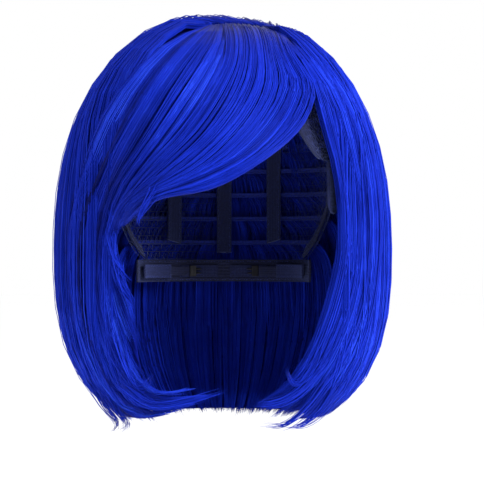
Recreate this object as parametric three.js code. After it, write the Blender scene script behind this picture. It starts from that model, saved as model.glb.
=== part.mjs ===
// Chin-length bob wig with a side-swept fringe, in the pose in which it is worn.
//
// Millimetres. +Z is up, the face looks along -Y, and +X is the wearer's left.
// The origin is the middle of the head that fills the cap, at brow height.
// Azimuths are measured round +Z: 0 at the face, 90 degrees at the wearer's left ear.

import * as THREE from 'three';
import { LoftGeometry } from 'three/addons/geometries/LoftGeometry.js';
import { mergeVertices } from 'three/addons/utils/BufferGeometryUtils.js';

// ---------------------------------------------------------------- driving dimensions

// Half-width, half-length and half-height of the head that the cap is cut for.
const HEAD = { x: 75, y: 95, z: 97 };

// The outside of the combed hair: its widest level, and how far it reaches from there.
const HAIR_HALF_WIDTH = 107.5;
const HAIR_WIDEST_Z = -45;
const HAIR_TOP_Z = 106;
const HAIR_BOTTOM_Z = -159;
const SQUARENESS_ABOVE = 2.3;
const SQUARENESS_BELOW = 2.6;

// Depth of the hair as a share of its half-width: behind the ears, over the forehead,
// at the cheeks, and the growth from the cheeks to the tips.
const BACK_DEPTH = 1.08;
const FOREHEAD_DEPTH = 1.04;
const CHEEK_DEPTH = 0.66;
const TIP_DEPTH_GROWTH = 0.14;

// The level where the crown hair hands over to the curtains, and to the fringe. At each temple
// it steps from one level to the other between two azimuths.
const EAR_LEVEL = 8;
const FRINGE_LEVEL = 64;
const RIGHT_TEMPLE = [degrees(45), degrees(53)];
const LEFT_TEMPLE = [degrees(52), degrees(60)];
const CURTAIN_TOP = EAR_LEVEL - 1.5;

// Curtains of hair: azimuths at their edges, and thicknesses at the top and the tips.
const SIDE_FRONT_EDGE = degrees(56);
const SIDE_FRONT_SWEEP = degrees(10);
const SIDE_BACK_EDGE = degrees(128);
const BACK_EDGE = degrees(131);
const CURTAIN_THICK_TOP = 14;
const CURTAIN_THICK_TIPS = 6;
const CURL_ANGLE = degrees(63);

// The fringe: azimuths at its two ends, the levels of its lower edge there, and its standoff.
const FRINGE_END = degrees(-46);
const FRINGE_START = degrees(50);
const FRINGE_TOP = FRINGE_LEVEL - 2;
const FRINGE_LOW = -14;
const FRINGE_APEX = 54;
const FRINGE_SWOOP = 2.6;
const FRINGE_STANDOFF = 10.5;
const FRINGE_SIDE_STANDOFF = 6;
const FRINGE_THICK = 6;

// The front locks: the points that each runs through, and its section. X is away from the face.
const LOCK_ROOT = [80, -50, 4];
const LOCK_CHEEK = [90, -55, -60];
const LOCK_JAW = [80, -62, -115];
const LOCK_LOWEST = [50, -66, -147];
const LOCK_TIP_Y = -66;
const LOCK_TIP_Z = -133;
const RIGHT_LOCK_TIP_X = -5;
const LEFT_LOCK_TIP_X = 21;
const LOCK_HALF_THICK = 8;
const LOCK_HALF_WIDE = 10;
const LOCK_ROOT_FULLNESS = 0.75;
const LOCK_TIP_FULLNESS = 0.15;

// Hem of the cap: over the forehead, over the ears, and at the nape.
const HEM_FRONT = 62;
const HEM_EAR = 12;
const HEM_NAPE = -49;

// Standoffs from the head of the layers of the cap, from the inside out.
const CROWN_TAPE = [-3.9, -2.9];
const TAPE = [-2.4, -1.3];
const HEM_BAND = [-3.1, -1.8];
const NET = [0, 0.8];
const TRACK = [1.6, 2.6];
const SKIN_TOP = [1.6, 2.6];
const CROWN_HAIR_INSIDE = 6;

const TAPE_WIDTH = 10;
const TRACK_WIDTH = 3;
const TRACK_LEVELS = [-38, -22, -6, 10, 26, 42, 57, 70];
const TRACK_START = degrees(64);
const TOP_TRACK_START = degrees(8);
const TRACK_TO_HEM = 5;
const BAND_TO_HEM = 0.5;
const FOREHEAD_BAND_WIDTH = 16;
const FOREHEAD_BAND_END = degrees(56);
const SIDE_BAND_WIDTH = 8;
const SIDE_BAND_FROM = degrees(59);
const SIDE_BAND_TO = degrees(124);

// Tapes from front to back run between these angles over the dome; the one from ear to ear
// starts this far above the ears, and lies this far forward of the middle.
const TAPE_FROM = degrees(58);
const CENTRE_TAPE_TO = degrees(208);
const SIDE_TAPE_TO = degrees(206);
const SIDE_TAPE_TURN = degrees(27);
const CROWN_TAPE_FROM = degrees(18);
const CROWN_TAPE_FORWARD = 0.13;

const SKIN_TOP_X = [-16, 36];
const SKIN_TOP_Y = [-38, 24];

// The nape: a band on a round of its own, with the size straps inside it.
const NAPE_CENTRE_Y = 20;
const NAPE_BAND = { radii: [58.6, 60], from: -72, to: 72, top: -49.4, bottom: -64 };
const LOOP_TAPE = { radii: [57.4, 58.3], from: 4, to: 30, top: -53, bottom: -61 };
const STRAP = { radii: [55.9, 57.1], from: 24.4, to: 68, top: -54, bottom: -60 };
const HOOK = { radii: [55.3, 57.1], from: 16, to: 24, top: -52.5, bottom: -61.5 };
const CASING = { radii: [54.3, 55.6], from: 40, to: 70, top: -52.5, bottom: -61.5 };

// Ear tabs, and the stays on them.
const TAB_AZIMUTH = degrees(68);
const TAB = { width: 24, length: 32, thick: 2, cornerRadius: 11, hemGap: 0.5 };
const STAY = { width: 4, length: 24, thick: 0.8, cornerRadius: 1.8, gap: 0.3, drop: 3 };

// Facets: round the head and over it, along a strip, and along and down the hair.
const NET_STEPS = [48, 10];
const CROWN_STEPS = [56, 9];
const CURTAIN_STEPS = [14, 12];
const FRINGE_STEPS = [16, 5];
const LOCK_STEPS = [16, 10];
const SKIN_TOP_STEPS = [8, 6];
const STRIP_STEPS = 24;
const CORNER_STEPS = 6;

// ---------------------------------------------------------------- materials

const FIBRE = { color: 0x1c2fb4, roughness: 0.36, metalness: 0 };
const NET_CLOTH = { color: 0x10163f, roughness: 0.85, metalness: 0 };
const WEFT = { color: 0x141d70, roughness: 0.7, metalness: 0 };
const ELASTIC = { color: 0x15182e, roughness: 0.8, metalness: 0 };
const SKIN_CLOTH = { color: 0xd9b79a, roughness: 0.7, metalness: 0 };
const PLASTIC = { color: 0x1b1c22, roughness: 0.4, metalness: 0 };

// ---------------------------------------------------------------- small helpers

function degrees(angle) {
  return THREE.MathUtils.degToRad(angle);
}

function lerp(from, to, t) {
  return from + (to - from) * t;
}

// 0 up to `from`, 1 past `to`, and a soft step between them.
function softStep(from, to, value) {
  const t = THREE.MathUtils.clamp((value - from) / (to - from), 0, 1);
  return t * t * (3 - 2 * t);
}

function signedVolume(geometry) {
  const position = geometry.attributes.position;
  const corners = [new THREE.Vector3(), new THREE.Vector3(), new THREE.Vector3()];
  let volume = 0;
  for (let i = 0; i < geometry.index.count; i += 3) {
    corners.forEach((corner, k) => corner.fromBufferAttribute(position, geometry.index.getX(i + k)));
    volume += corners[0].dot(corners[1].cross(corners[2])) / 6;
  }
  return volume;
}

// Welds a surface into one closed body: faces that shrank to a line go, and all faces look out.
function closedBody(surface) {
  const bare = new THREE.BufferGeometry();
  bare.setAttribute('position', surface.attributes.position);
  bare.setIndex(surface.index);
  const body = mergeVertices(bare, 1e-3);
  const corners = Array.from(body.index.array);
  const kept = [];
  for (let i = 0; i < corners.length; i += 3) {
    const [a, b, c] = corners.slice(i, i + 3);
    if (a !== b && b !== c && c !== a) {
      kept.push(a, b, c);
    }
  }
  body.setIndex(kept);
  if (signedVolume(body) < 0) {
    body.setIndex(kept.reverse());
  }
  body.computeVertexNormals();
  return body;
}

// The solid between an outer and an inner surface, both given over u and v from 0 to 1.
// A ring meets itself again at u = 1; otherwise the inner surface is folded onto the outer at both ends.
function between(outer, inner, stepsU, stepsV, isRing = false) {
  const row = (surface, u) => Array.from({ length: stepsV + 1 }, (_, j) => surface(u, j / stepsV));
  const section = (layer, u) => [...row(outer, u), ...row(layer, u).reverse()];
  const sections = [];
  for (let i = 0; i <= stepsU; i++) {
    sections.push(section(inner, i / stepsU));
  }
  if (!isRing) {
    sections.unshift(section(outer, 0));
    sections.push(section(outer, 1));
  }
  return closedBody(new LoftGeometry(sections));
}

// A strip of cloth: `place(u, v, standoff)` gives its points, at two standoffs.
function strip(place, [low, high], stepsU, stepsV = 1) {
  const outer = (u, v) => place(u, v, high);
  const inner = (u, v) => place(u, v, low);
  return between(outer, inner, stepsU, stepsV);
}

// ---------------------------------------------------------------- the head and the cap

// A point at an azimuth and a level, standing off the head.
function onHead(azimuth, z, standoff) {
  const ring = Math.sqrt(1 - (z / (HEAD.z + standoff)) ** 2);
  return new THREE.Vector3(
    (HEAD.x + standoff) * ring * Math.sin(azimuth),
    -(HEAD.y + standoff) * ring * Math.cos(azimuth),
    z,
  );
}

// A point on the dome, by the angle down from its top.
function onDome(azimuth, fromTop, standoff) {
  return new THREE.Vector3(
    (HEAD.x + standoff) * Math.sin(fromTop) * Math.sin(azimuth),
    -(HEAD.y + standoff) * Math.sin(fromTop) * Math.cos(azimuth),
    (HEAD.z + standoff) * Math.cos(fromTop),
  );
}

function hem(azimuth) {
  const turn = Math.abs(azimuth);
  const toEar = softStep(degrees(18), degrees(58), turn);
  const toNape = softStep(degrees(94), degrees(126), turn);
  return HEM_FRONT + (HEM_EAR - HEM_FRONT) * toEar + (HEM_NAPE - HEM_EAR) * toNape;
}

function capNet() {
  const place = (u, v, standoff) => {
    const azimuth = lerp(-Math.PI, Math.PI, u);
    const hemAngle = Math.acos(hem(azimuth) / (HEAD.z + standoff));
    return onDome(azimuth, hemAngle * (1 - v), standoff);
  };
  const outer = (u, v) => place(u, v, NET[1]);
  const inner = (u, v) => place(u, v, NET[0]);
  return between(outer, inner, ...NET_STEPS, true);
}

// A tape inside the net, from front to back, at a constant angle to the middle plane.
function lengthwiseTape(side, from, to) {
  const halfAngle = TAPE_WIDTH / 2 / HEAD.x;
  return strip((u, v, standoff) => {
    const sideways = side + lerp(-halfAngle, halfAngle, v);
    const over = lerp(from, to, u);
    return new THREE.Vector3(
      (HEAD.x + standoff) * Math.sin(sideways),
      -(HEAD.y + standoff) * Math.cos(sideways) * Math.cos(over),
      (HEAD.z + standoff) * Math.cos(sideways) * Math.sin(over),
    );
  }, TAPE, STRIP_STEPS);
}

// The tape from ear to ear, one layer further in than the others.
function crosswiseTape() {
  const halfAngle = TAPE_WIDTH / 2 / HEAD.y;
  return strip((u, v, standoff) => {
    const lengthwise = CROWN_TAPE_FORWARD + lerp(-halfAngle, halfAngle, v);
    const over = lerp(CROWN_TAPE_FROM, Math.PI - CROWN_TAPE_FROM, u);
    return new THREE.Vector3(
      (HEAD.x + standoff) * Math.cos(lengthwise) * Math.cos(over),
      -(HEAD.y + standoff) * Math.sin(lengthwise),
      (HEAD.z + standoff) * Math.cos(lengthwise) * Math.sin(over),
    );
  }, CROWN_TAPE, STRIP_STEPS);
}

// An elastic band that follows the hem, inside the net.
function hemBand(from, to, width) {
  return strip((u, v, standoff) => {
    const azimuth = lerp(from, to, u);
    return onHead(azimuth, hem(azimuth) + lerp(BAND_TO_HEM, width, v), standoff);
  }, HEM_BAND, STRIP_STEPS, 2);
}

// The patch of skin-coloured cloth at the parting, on top of the net.
function skinTop() {
  return strip((u, v, standoff) => {
    const x = lerp(...SKIN_TOP_X, v);
    const y = lerp(...SKIN_TOP_Y, u);
    const height = Math.sqrt(1 - (x / (HEAD.x + standoff)) ** 2 - (y / (HEAD.y + standoff)) ** 2);
    return new THREE.Vector3(x, y, (HEAD.z + standoff) * height);
  }, SKIN_TOP, ...SKIN_TOP_STEPS);
}

// A row of weft runs round the back of the cap, and stops short of the hem at both ends.
// Rows below the fringe start behind the temples; the top row runs nearly all the way round.
function weftTrack(level) {
  let start = level > HEM_FRONT ? TOP_TRACK_START : TRACK_START;
  while (hem(start) > level - TRACK_TO_HEM) {
    start += degrees(1);
  }
  return strip((u, v, standoff) => {
    const azimuth = lerp(start, 2 * Math.PI - start, u);
    return onHead(azimuth, level + lerp(-TRACK_WIDTH / 2, TRACK_WIDTH / 2, v), standoff);
  }, TRACK, STRIP_STEPS);
}

// A strip on the round of the nape; side is 1 for the wearer's left and -1 for the right.
function napeStrip(shape, side, steps) {
  return strip((u, v, radius) => {
    const turn = side * degrees(lerp(shape.from, shape.to, u));
    return new THREE.Vector3(
      radius * Math.sin(turn),
      NAPE_CENTRE_Y + radius * Math.cos(turn),
      lerp(shape.bottom, shape.top, v),
    );
  }, shape.radii, steps);
}

// A flat tongue that hangs from the hem in front of the ear: an upright plate with round lower corners.
function tongue({ width, length, thick, cornerRadius }) {
  const outline = new THREE.Shape();
  const half = width / 2;
  outline.moveTo(-half, 0);
  outline.lineTo(-half, cornerRadius - length);
  outline.absarc(cornerRadius - half, cornerRadius - length, cornerRadius, Math.PI, 1.5 * Math.PI);
  outline.lineTo(half - cornerRadius, -length);
  outline.absarc(half - cornerRadius, cornerRadius - length, cornerRadius, 1.5 * Math.PI, 2 * Math.PI);
  outline.lineTo(half, 0);
  outline.closePath();
  return new THREE.ExtrudeGeometry(outline, {
    depth: thick,
    bevelEnabled: false,
    curveSegments: CORNER_STEPS,
  });
}

// Stands a plate upright against the side of the head, `outward` from it, with its top edge at z.
function besideEar(plate, side, outward, z) {
  const azimuth = side * TAB_AZIMUTH;
  const foot = onHead(azimuth, HEM_EAR, 0);
  const tangent = new THREE.Vector3(HEAD.x * Math.cos(azimuth), HEAD.y * Math.sin(azimuth), 0);
  tangent.normalize();
  const normal = new THREE.Vector3(tangent.y, -tangent.x, 0);
  const up = new THREE.Vector3(0, 0, 1);
  plate.applyMatrix4(new THREE.Matrix4().makeBasis(tangent, up, normal));
  plate.translate(foot.x + normal.x * outward, foot.y + normal.y * outward, z);
  return plate;
}

// ---------------------------------------------------------------- the hair

// Half-width and level of the outside of the hair, by the angle above (+) or below (-) its widest level.
function hairProfile(angle) {
  const above = angle > 0;
  const power = 2 / (above ? SQUARENESS_ABOVE : SQUARENESS_BELOW);
  const reach = above ? HAIR_TOP_Z - HAIR_WIDEST_Z : HAIR_BOTTOM_Z - HAIR_WIDEST_Z;
  return {
    halfWidth: HAIR_HALF_WIDTH * Math.max(0, Math.cos(angle)) ** power,
    z: HAIR_WIDEST_Z + reach * Math.abs(Math.sin(angle)) ** power,
  };
}

// The profile angle of a level above the widest one.
function angleAtLevel(z) {
  const rise = (z - HAIR_WIDEST_Z) / (HAIR_TOP_Z - HAIR_WIDEST_Z);
  return Math.asin(rise ** (SQUARENESS_ABOVE / 2));
}

function frontDepth(z) {
  const forehead = (FOREHEAD_DEPTH - CHEEK_DEPTH) * softStep(0, 60, z);
  const tips = TIP_DEPTH_GROWTH * softStep(HAIR_WIDEST_Z, HAIR_BOTTOM_Z, z);
  return CHEEK_DEPTH + forehead + tips;
}

// A point of the outside of the hair, or of a layer `inset` further in.
function onHair(azimuth, profileAngle, inset) {
  const { halfWidth, z } = hairProfile(profileAngle);
  const depth = Math.cos(azimuth) > 0 ? frontDepth(z) : BACK_DEPTH;
  const point = new THREE.Vector3(
    halfWidth * Math.sin(azimuth),
    -halfWidth * depth * Math.cos(azimuth),
    0,
  );
  point.setLength(Math.max(0, point.length() - inset));
  return point.setZ(z);
}

function crownRim(azimuth) {
  const temple = azimuth < 0 ? RIGHT_TEMPLE : LEFT_TEMPLE;
  return lerp(FRINGE_LEVEL, EAR_LEVEL, softStep(...temple, Math.abs(azimuth)));
}

// The dome of hair over the cap, open below.
function crownHair() {
  const outer = (u, v) => {
    const azimuth = lerp(-Math.PI, Math.PI, u);
    return onHair(azimuth, lerp(angleAtLevel(crownRim(azimuth)), Math.PI / 2, v), 0);
  };
  const inner = (u, v) => {
    const azimuth = lerp(-Math.PI, Math.PI, u);
    const rimAngle = Math.acos(crownRim(azimuth) / (HEAD.z + CROWN_HAIR_INSIDE));
    return onDome(azimuth, rimAngle * (1 - v), CROWN_HAIR_INSIDE);
  };
  return between(outer, inner, ...CROWN_STEPS, true);
}

// A hanging curtain of hair, feathered to nothing at its two upright edges and curled in at its tips.
function curtain(firstEdge, secondEdge) {
  const topAngle = angleAtLevel(CURTAIN_TOP);
  const place = (u, v, layer) => {
    const profileAngle = lerp(topAngle, -CURL_ANGLE, v);
    const { z } = hairProfile(profileAngle);
    const feather = Math.sqrt(Math.max(0, 4 * u * (1 - u)));
    const thick = lerp(CURTAIN_THICK_TOP, CURTAIN_THICK_TIPS, v) * feather;
    return onHair(lerp(firstEdge(z), secondEdge(z), u), profileAngle, layer * thick);
  };
  const outer = (u, v) => place(u, v, 0);
  const inner = (u, v) => place(u, v, 1);
  return between(outer, inner, ...CURTAIN_STEPS);
}

function sideHair(side) {
  const frontEdge = (z) => side * (SIDE_FRONT_EDGE - SIDE_FRONT_SWEEP * softStep(-60, HAIR_BOTTOM_Z, z));
  const backEdge = () => side * SIDE_BACK_EDGE;
  return curtain(frontEdge, backEdge);
}

function backHair() {
  return curtain(() => BACK_EDGE, () => 2 * Math.PI - BACK_EDGE);
}

// The fringe: its lower edge swoops from the temple at the parting down to the other temple.
function fringeHair() {
  const place = (u, v, layer) => {
    const azimuth = lerp(FRINGE_END, FRINGE_START, u);
    const lowEdge = lerp(FRINGE_LOW, FRINGE_APEX, u ** FRINGE_SWOOP);
    const sideways = (azimuth / FRINGE_START) ** 2;
    const standoff = FRINGE_STANDOFF + FRINGE_SIDE_STANDOFF * sideways - layer * FRINGE_THICK;
    return onHead(azimuth, lerp(FRINGE_TOP, lowEdge, v), standoff);
  };
  const outer = (u, v) => place(u, v, 0);
  const inner = (u, v) => place(u, v, 1);
  return between(outer, inner, ...FRINGE_STEPS);
}

// A front lock: flat-oval in section, full at the cheek, and swept to a point under the chin.
function frontLock(side, tipX) {
  const hanging = [LOCK_ROOT, LOCK_CHEEK, LOCK_JAW, LOCK_LOWEST];
  const knots = hanging.map(([x, y, z]) => new THREE.Vector3(side * x, y, z));
  knots.push(new THREE.Vector3(tipX, LOCK_TIP_Y, LOCK_TIP_Z));
  const route = new THREE.CatmullRomCurve3(knots);
  const [steps, corners] = LOCK_STEPS;
  const sections = [];
  for (let i = 0; i <= steps; i++) {
    const t = i / steps;
    const centre = route.getPoint(t);
    const along = route.getTangent(t);
    const outward = new THREE.Vector3(centre.x, centre.y, 0);
    outward.addScaledVector(along, -outward.dot(along)).normalize();
    const across = new THREE.Vector3().crossVectors(along, outward);
    const swelling = lerp(LOCK_ROOT_FULLNESS, 1, softStep(0, 0.3, t));
    const fullness = swelling * lerp(1, LOCK_TIP_FULLNESS, softStep(0.45, 1, t));
    const section = [];
    for (let k = 0; k < corners; k++) {
      const turn = (2 * Math.PI * k) / corners;
      const point = centre.clone();
      point.addScaledVector(outward, LOCK_HALF_THICK * fullness * Math.cos(turn));
      point.addScaledVector(across, LOCK_HALF_WIDE * fullness * Math.sin(turn));
      section.push(point);
    }
    sections.push(section);
  }
  return closedBody(new LoftGeometry(sections, { capStart: true, capEnd: true }));
}

// ---------------------------------------------------------------- assembly

const wig = new THREE.Group();

function add(name, geometry, finish) {
  const mesh = new THREE.Mesh(geometry, new THREE.MeshStandardMaterial(finish));
  mesh.name = name;
  wig.add(mesh);
}

add('cap_net', capNet(), NET_CLOTH);
add('forehead_band', hemBand(-FOREHEAD_BAND_END, FOREHEAD_BAND_END, FOREHEAD_BAND_WIDTH), ELASTIC);
add('nape_band', napeStrip(NAPE_BAND, 1, 28), ELASTIC);
add('centre_tape', lengthwiseTape(0, TAPE_FROM, CENTRE_TAPE_TO), ELASTIC);
add('crown_tape', crosswiseTape(), ELASTIC);
add('skin_top', skinTop(), SKIN_CLOTH);
TRACK_LEVELS.forEach((level, i) => add(`weft_track_${i + 1}`, weftTrack(level), WEFT));

const SIDES = [
  ['right', -1, RIGHT_LOCK_TIP_X],
  ['left', 1, LEFT_LOCK_TIP_X],
];

for (const [name, side, lockTipX] of SIDES) {
  const sideBand = hemBand(side * SIDE_BAND_FROM, side * SIDE_BAND_TO, SIDE_BAND_WIDTH);
  add(`side_band_${name}`, sideBand, ELASTIC);
  add(`${name}_tape`, lengthwiseTape(side * SIDE_TAPE_TURN, TAPE_FROM, SIDE_TAPE_TO), ELASTIC);
  add(`hook_loop_tape_${name}`, napeStrip(LOOP_TAPE, side, 8), ELASTIC);
  add(`strap_casing_${name}`, napeStrip(CASING, side, 10), ELASTIC);
  add(`adjuster_strap_${name}`, napeStrip(STRAP, side, 14), ELASTIC);
  add(`adjuster_hook_${name}`, napeStrip(HOOK, side, 4), PLASTIC);

  const tabTop = HEM_EAR - TAB.hemGap;
  const stayOut = TAB.thick / 2 + STAY.gap;
  add(`ear_tab_${name}`, besideEar(tongue(TAB), side, -TAB.thick / 2, tabTop), NET_CLOTH);
  add(`ear_stay_${name}`, besideEar(tongue(STAY), side, stayOut, tabTop - STAY.drop), PLASTIC);

  add(`side_hair_${name}`, sideHair(side), FIBRE);
  add(`front_lock_${name}`, frontLock(side, lockTipX), FIBRE);
}

add('crown_hair', crownHair(), FIBRE);
add('back_hair', backHair(), FIBRE);
add('fringe_hair', fringeHair(), FIBRE);

export default wig;
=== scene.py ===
"""Looks of a chin-length royal blue bob wig with a side-swept fringe.

Metres, +Z up, the face looks along -Y, +X is the wearer's left. Azimuths are measured round +Z:
0 at the face, +90 degrees at the wearer's left ear. The hair is built as thousands of thin solid
strands, laid over the rounded shape that the combed hair makes.
"""

import math
from collections import namedtuple

import bpy
import numpy as np
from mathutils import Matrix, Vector


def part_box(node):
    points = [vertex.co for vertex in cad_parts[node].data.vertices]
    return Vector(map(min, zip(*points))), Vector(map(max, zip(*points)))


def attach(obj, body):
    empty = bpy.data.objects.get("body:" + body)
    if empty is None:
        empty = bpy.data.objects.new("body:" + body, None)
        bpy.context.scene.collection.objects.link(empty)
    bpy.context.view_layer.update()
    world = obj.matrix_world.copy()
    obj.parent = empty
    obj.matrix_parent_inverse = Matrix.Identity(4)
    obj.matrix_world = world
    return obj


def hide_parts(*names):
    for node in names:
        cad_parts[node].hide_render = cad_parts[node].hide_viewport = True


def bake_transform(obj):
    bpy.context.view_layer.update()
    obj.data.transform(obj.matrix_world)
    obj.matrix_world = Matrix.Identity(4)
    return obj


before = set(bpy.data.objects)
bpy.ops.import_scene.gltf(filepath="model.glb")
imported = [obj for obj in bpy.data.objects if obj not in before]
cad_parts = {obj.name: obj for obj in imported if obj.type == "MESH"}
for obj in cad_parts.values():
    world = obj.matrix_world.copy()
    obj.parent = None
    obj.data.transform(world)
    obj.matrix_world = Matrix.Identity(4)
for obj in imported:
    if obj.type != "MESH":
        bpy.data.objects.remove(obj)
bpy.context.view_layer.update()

MM = 0.001
DEG = math.pi / 180
rng = np.random.default_rng(2026)


def add_object(name, data):
    thing = bpy.data.objects.new(name, data)
    bpy.context.scene.collection.objects.link(thing)
    return thing


# ---------- camera

EAR_PLANE_DISTANCE = 1.5
EYE_LEVEL = -43 * MM
CAMERA_SIDE = 12 * MM
FRAME_WIDTH_AT_EARS = 308 * MM


def make_camera():
    data = bpy.data.cameras.new("camera")
    data.sensor_fit = "HORIZONTAL"
    data.sensor_width = 36
    data.lens = data.sensor_width * EAR_PLANE_DISTANCE / FRAME_WIDTH_AT_EARS
    camera = add_object("camera", data)
    camera.location = (CAMERA_SIDE, -EAR_PLANE_DISTANCE, EYE_LEVEL)
    camera.rotation_euler = (math.pi / 2, 0, 0)
    bpy.context.scene.camera = camera


make_camera()


# ---------- driving dimensions

# Half-width, half-length and half-height of the head that the cap is cut for.
HEAD = np.array([75.0, 95.0, 97.0]) * MM

# Outside of the combed hair. Its width and its top come from the frame.
HALF_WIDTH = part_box("side_hair_left")[1].x
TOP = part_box("crown_hair")[1].z
WIDEST = -45 * MM
BOTTOM = -163 * MM
SQUARENESS_ABOVE = 2.3
SQUARENESS_BELOW = 2.6

# Depth of the hair as a share of its half-width.
BACK_DEPTH = 1.08
FOREHEAD_DEPTH = 1.04
CHEEK_DEPTH = 0.68
TIP_DEPTH_GROWTH = 0.14

# Over the forehead the hair stands this far off the head, less at the very top.
FRINGE_STANDOFF = 10.5 * MM
TOP_STANDOFF = 9 * MM

# Above this level a strand is placed by where it lies in plan, below it by its level.
SHOULDER = 60 * MM
SHOULDER_BLEND = (SHOULDER - 12 * MM, SHOULDER + 14 * MM)

# The parting: the hair comes out of a short line on the crown, from the wearer's right end
# to the left end, and is combed away from it on all sides.
PART_RIGHT = np.array([-10.0, -32.0]) * MM
PART_LEFT = np.array([38.0, -14.0]) * MM
PART_FACING = 112 * DEG

# Hair leaves the parting this far from its line, so that a little of the skin-coloured cloth shows.
PART_GAP = 2.5 * MM

# Nearer to the face than these azimuths, side hair is combed back as it comes down.
RIGHT_FACE_EDGE = 50 * DEG
LEFT_FACE_EDGE = 55 * DEG

SIDES = (("right", -1), ("left", 1))


def sector(side, start, end):
    """Azimuths between which something lies on one side of the head, in rising order."""
    return sorted((side * start, side * end))


# ---------- small helpers


def soft_step(low, high, value):
    t = np.clip((value - low) / (high - low), 0, 1)
    return t * t * (3 - 2 * t)


def lerp(low, high, t):
    return low + (high - low) * t


def joined(x, y, z):
    return np.stack(np.broadcast_arrays(x, y, z), axis=-1)


def spline(knots, t):
    """Catmull-Rom through knots [..., k, d], at the values t [m] from 0 to 1: [..., m, d]."""
    before = 2 * knots[..., :1, :] - knots[..., 1:2, :]
    after = 2 * knots[..., -1:, :] - knots[..., -2:-1, :]
    knots = np.concatenate([before, knots, after], axis=-2)
    spans = knots.shape[-2] - 3
    place = np.clip(t * spans, 0, spans - 1e-6)
    index = place.astype(int)
    u = (place - index)[:, None]
    a, b, c, d = (knots[..., index + k, :] for k in range(4))
    curve = 2 * b + (c - a) * u
    curve += (2 * a - 5 * b + 4 * c - d) * u**2
    curve += (3 * b - a - 3 * c + d) * u**3
    return curve / 2


def unit(vectors):
    return vectors / np.maximum(np.linalg.norm(vectors, axis=-1, keepdims=True), 1e-9)


def even_spacing(paths, count, reach):
    """Points evenly spaced along each path [n, k, 3], up to a share of its length."""
    steps = np.linalg.norm(np.diff(paths, axis=1), axis=2)
    length = np.concatenate([np.zeros((len(paths), 1)), np.cumsum(steps, axis=1)], axis=1)
    share = np.linspace(0, 1, count)
    out = np.empty((len(paths), count, 3))
    for i, path in enumerate(paths):
        wanted = share * length[i, -1] * reach[i]
        for axis in range(3):
            out[i, :, axis] = np.interp(wanted, length[i], path[:, axis])
    return out


def wander(count, steps, waves=3):
    """Smooth random wandering, mostly between -1 and 1, one row for each strand."""
    t = np.linspace(0, 1, steps)
    out = np.zeros((count, steps))
    for k in range(1, waves + 1):
        phase = rng.uniform(0, 2 * math.pi, (count, 1))
        size = rng.normal(0, 0.7 / k, (count, 1))
        out += size * np.sin(k * math.pi * 1.3 * t + phase)
    return out


# ---------- the shape of the combed hair


def half_width(z):
    above = z > WIDEST
    power = np.where(above, SQUARENESS_ABOVE, SQUARENESS_BELOW)
    rise = np.where(above, (z - WIDEST) / (TOP - WIDEST), (WIDEST - z) / (WIDEST - BOTTOM))
    return HALF_WIDTH * np.maximum(1 - np.clip(rise, 0, 1) ** power, 0) ** (1 / power)


def depth_share(z, facing):
    """Depth of the hair as a share of its half-width; facing is over 0 towards the face."""
    forehead = (FOREHEAD_DEPTH - CHEEK_DEPTH) * soft_step(0, SHOULDER, z)
    tips = TIP_DEPTH_GROWTH * soft_step(WIDEST, BOTTOM, z)
    return np.where(facing > 0, CHEEK_DEPTH + forehead + tips, BACK_DEPTH)


def oval_radius(wide, deep, azimuth):
    across = np.hypot(deep * np.sin(azimuth), wide * np.cos(azimuth))
    return wide * deep / np.maximum(across, 1e-9)


def side_radius(azimuth, z):
    """Distance of the hair's outside from the upright axis, at an azimuth and a level."""
    wide = half_width(z)
    hair = oval_radius(wide, wide * depth_share(z, np.cos(azimuth)), azimuth)
    standoff = lerp(FRINGE_STANDOFF, TOP_STANDOFF, soft_step(SHOULDER, TOP, z))
    ring = np.sqrt(np.maximum(1 - (z / (HEAD[2] + standoff)) ** 2, 0))
    head = oval_radius((HEAD[0] + standoff) * ring, (HEAD[1] + standoff) * ring, azimuth)
    return np.maximum(hair, head)


def top_level(x, y):
    """Level of the hair's outside above a point of the plan; only right above the shoulder."""
    azimuth = np.arctan2(x, -y)
    reach = np.hypot(x, y)
    whole = oval_radius(HALF_WIDTH, HALF_WIDTH * depth_share(TOP, -y), azimuth)
    share = np.clip(reach / whole, 0, 1) ** SQUARENESS_ABOVE
    hair = WIDEST + (TOP - WIDEST) * (1 - share) ** (1 / SQUARENESS_ABOVE)
    wide, deep, high = HEAD + TOP_STANDOFF
    head = high * np.sqrt(np.maximum(1 - (x / wide) ** 2 - (y / deep) ** 2, 0))
    return np.maximum(hair, head)


def settle(points, inset):
    """Lays points near the hair's outside onto it, or onto a layer `inset` further in."""
    x, y, z = points[..., 0], points[..., 1], points[..., 2]
    azimuth = np.arctan2(x, -y)
    near_top = soft_step(*SHOULDER_BLEND, z)
    reach = np.maximum(np.hypot(x, y), 1e-6)
    scale = (side_radius(azimuth, z) - inset) / reach
    keep = lerp(scale, 1, near_top)
    level = lerp(z, top_level(x, y) - inset, near_top)
    return joined(x * keep, y * keep, level)


def front_point(x, z):
    """The point of the hair's front at a place seen from the front."""
    wide = half_width(z)
    hair = wide * depth_share(z, 1) * np.sqrt(np.maximum(1 - (x / wide) ** 2, 0))
    flat, deep, high = HEAD + FRINGE_STANDOFF
    head = deep * np.sqrt(np.maximum(1 - (x / flat) ** 2 - (z / high) ** 2, 0))
    return joined(x, -np.maximum(hair, head), z)


def part_point(share):
    """A point just in front of the parting, from its right end (0) to its left end (1)."""
    plan = lerp(PART_RIGHT, PART_LEFT, share) + np.array([0, -PART_GAP])
    return np.array([*plan, top_level(*plan)])


# ---------- strands

# A strand is a little flat, starts thin and ends in a fine tip.
STRAND_FLATNESS = 0.7
ROOT_WIDTH = 0.4
ROOT_GROWTH = 8
TIP_LOSS = 0.85

# The flat of a strand faces away from this point.
HAIR_CENTRE = np.array([0, 0, -30]) * MM

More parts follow.
